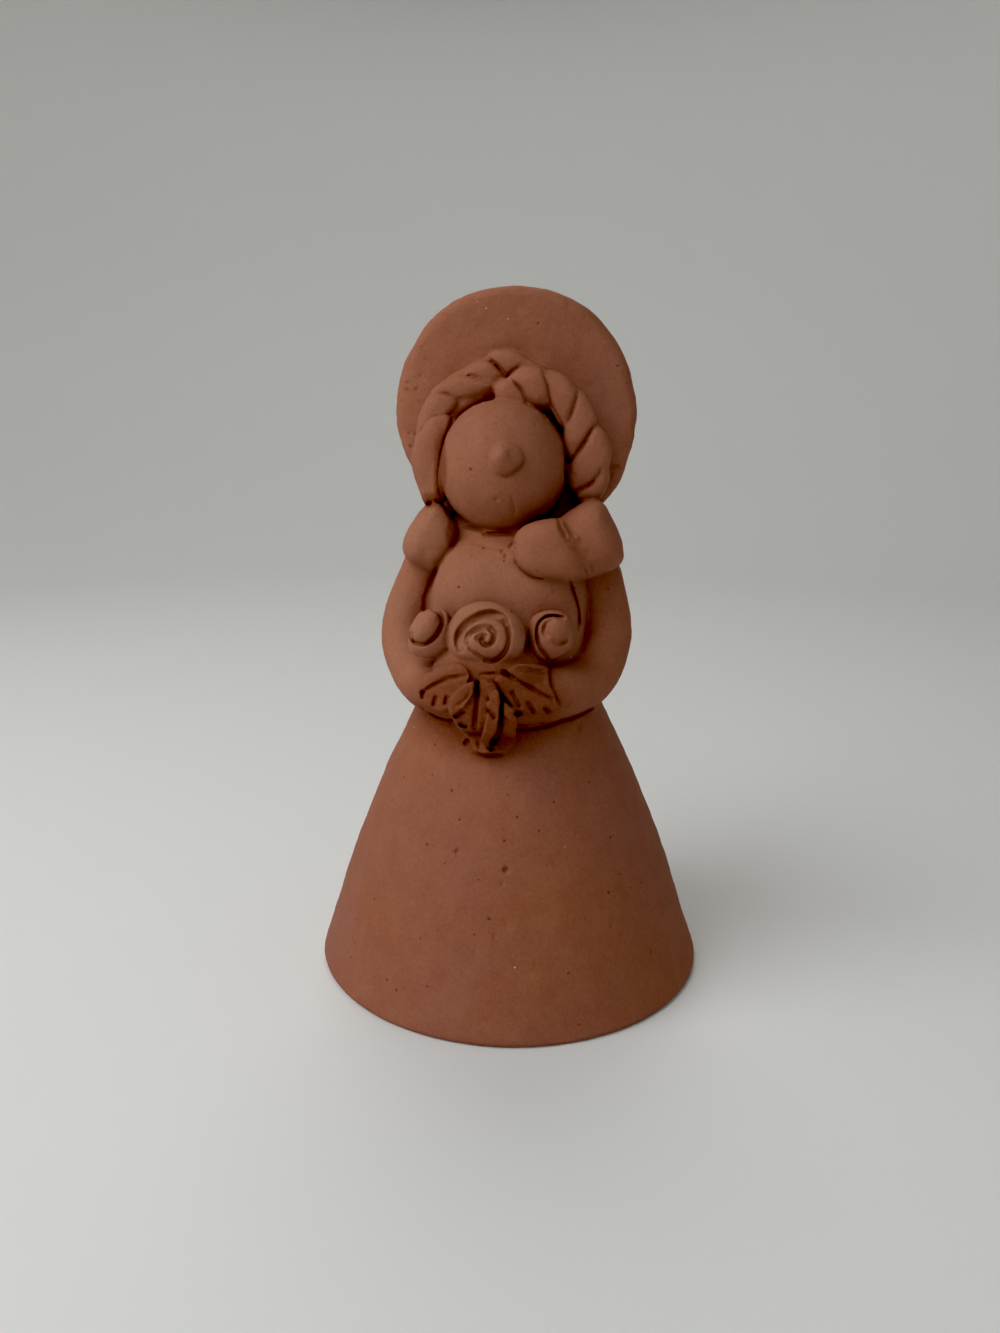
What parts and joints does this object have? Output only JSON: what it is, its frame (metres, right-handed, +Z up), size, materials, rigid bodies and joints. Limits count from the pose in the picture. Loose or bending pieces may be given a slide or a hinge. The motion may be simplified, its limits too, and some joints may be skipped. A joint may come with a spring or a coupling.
{
  "type": "terracotta figurine",
  "caption": "Hand-built terracotta doll with a hollow bell skirt, folded arms, twisted braids under a wide hat and a bunch of rolled roses.",
  "frame": {"origin": "centre of the round base, on the surface that the figurine stands on", "axes": "+Z up through the head, -Y the way the face and the roses look, +X to the right of the picture"},
  "size_m": [0.0819, 0.082, 0.1399],
  "materials": {
    "terracotta": "matte unglazed fired clay with fine pores and a few specks of mica"
  },
  "bodies": {
    "root": {"terracotta_figurine": "terracotta"}
  },
  "joints": []
}
